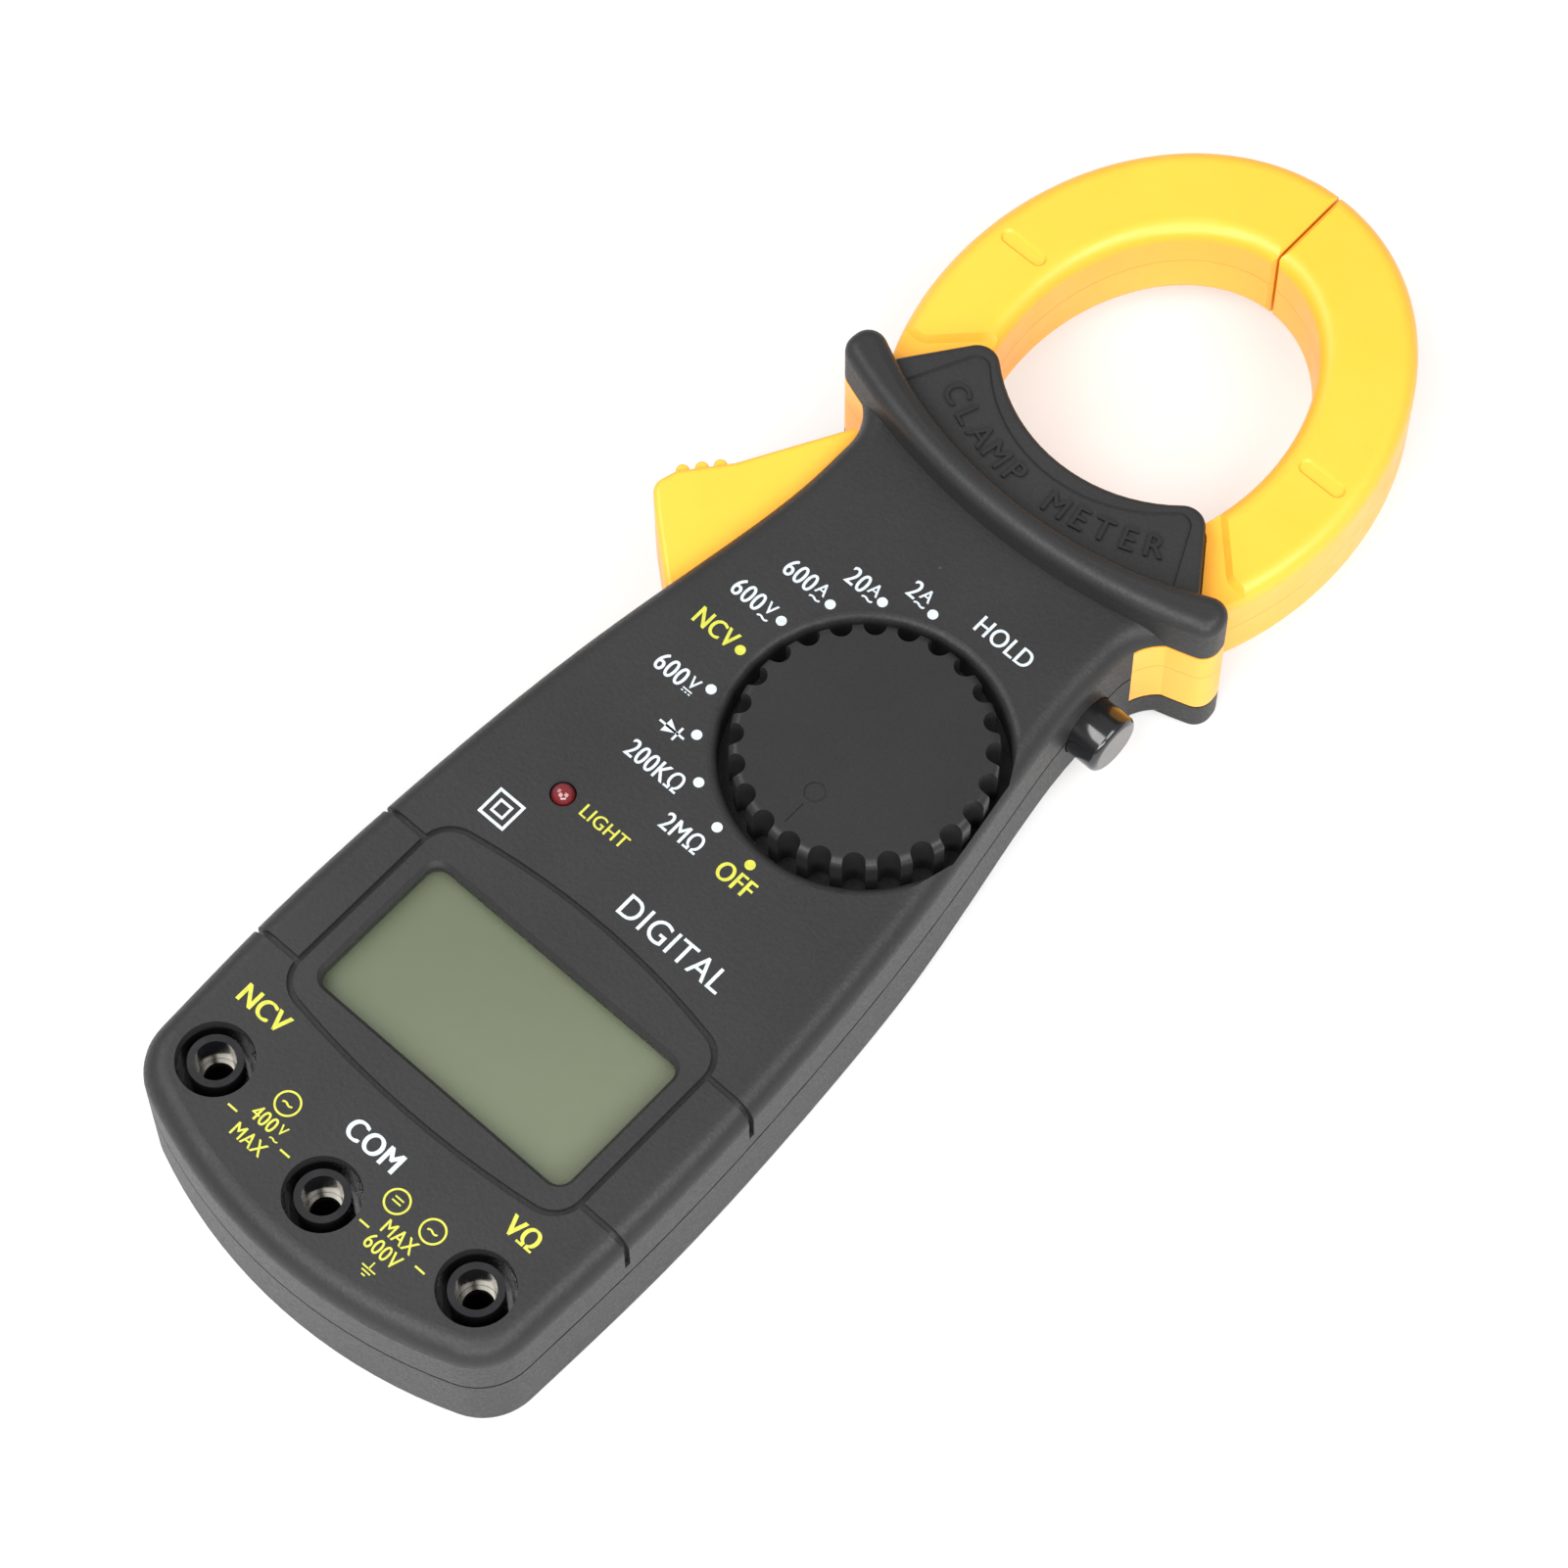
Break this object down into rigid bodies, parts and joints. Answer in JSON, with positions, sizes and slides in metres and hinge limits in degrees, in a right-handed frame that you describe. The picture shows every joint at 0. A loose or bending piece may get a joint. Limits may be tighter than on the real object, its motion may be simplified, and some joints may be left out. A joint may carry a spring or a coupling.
{
  "type": "clamp meter",
  "caption": "Hand-held clamp meter with a hinged current jaw, a side trigger, a rotary range dial, a display, a hold button and probe sockets.",
  "frame": {"origin": "a point on the flat back of the case, on its centreline, just above the battery door; the meter lies on this face", "axes": "+X to the right as seen from the front, +Y along the case towards the jaws, +Z out of the front face with the display"},
  "size_m": [0.0715, 0.2048, 0.028],
  "materials": {
    "case_plastic": "fine textured",
    "jaw_plastic": "smooth satin",
    "dial_plastic": "satin",
    "gloss_plastic": "polished",
    "inner_plastic": "plain",
    "clear_window": "clear",
    "display_glass": "smooth",
    "red_lens": "polished",
    "circuit_board": "lacquered",
    "contact_rubber": "plain",
    "screw_steel": "plated",
    "spring_steel": "plated",
    "plated_brass": "nickel plated",
    "battery_can": "printed film",
    "core_steel": "laminated",
    "coil_copper": "enamelled wire"
  },
  "bodies": {
    "case": {"back_cover": "case_plastic", "battery_bridge": "spring_steel", "battery_cell_lower": "battery_can", "battery_cell_upper": "battery_can", "battery_contact_minus": "spring_steel", "battery_contact_plus": "spring_steel", "battery_door": "case_plastic", "battery_door_screw": "screw_steel", "board_screws": "screw_steel", "buzzer": "inner_plastic", "case_screws": "screw_steel", "controller_chip": "inner_plastic", "fixed_jaw_back": "jaw_plastic", "fixed_jaw_coil": "coil_copper", "fixed_jaw_core": "core_steel", "fixed_jaw_front": "jaw_plastic", "fixed_jaw_pin": "screw_steel", "front_cover": "case_plastic", "hold_switch": "inner_plastic", "jack_block": "gloss_plastic", "jack_sleeve_com": "plated_brass", "jack_sleeve_ncv": "plated_brass", "jack_sleeve_volt": "plated_brass", "jaw_pivot_pin": "screw_steel", "lcd_frame": "inner_plastic", "lcd_glass": "display_glass", "lcd_window": "clear_window", "led_indicator": "red_lens", "main_board": "circuit_board", "trigger_spring": "spring_steel", "zebra_strip": "contact_rubber"},
    "moving_jaw": {"moving_jaw_front": "jaw_plastic", "moving_jaw_back": "jaw_plastic", "moving_jaw_core": "core_steel", "moving_jaw_coil": "coil_copper"},
    "dial": {"dial_knob": "dial_plastic", "dial_rotor": "inner_plastic", "wiper_contacts": "plated_brass", "detent_balls": "screw_steel", "detent_springs": "spring_steel"},
    "hold_button": {"hold_button": "gloss_plastic", "hold_plunger": "inner_plastic"}
  },
  "joints": [
    {"name": "jaw_pivot", "type": "hinge", "parent": "case", "child": "moving_jaw", "pos_m": [-0.024, 0.076, 0.013], "axis": [0, 0, 1], "range_deg": [0, 20], "stiffness_Nm_per_rad": 0.8, "springref_deg": -20.05, "deforming": ["trigger_spring"]},
    {"name": "dial_turn", "type": "hinge", "parent": "case", "child": "dial", "pos_m": [0.00873, 0.03575, 0.02], "axis": [0, 0, 1], "range_deg": [-162, 0]},
    {"name": "hold_press", "type": "slide", "parent": "case", "child": "hold_button", "axis": [-1, 0, 0], "range_m": [0, 0.0015], "stiffness_N_per_m": 1200, "springref_m": -0.001}
  ]
}
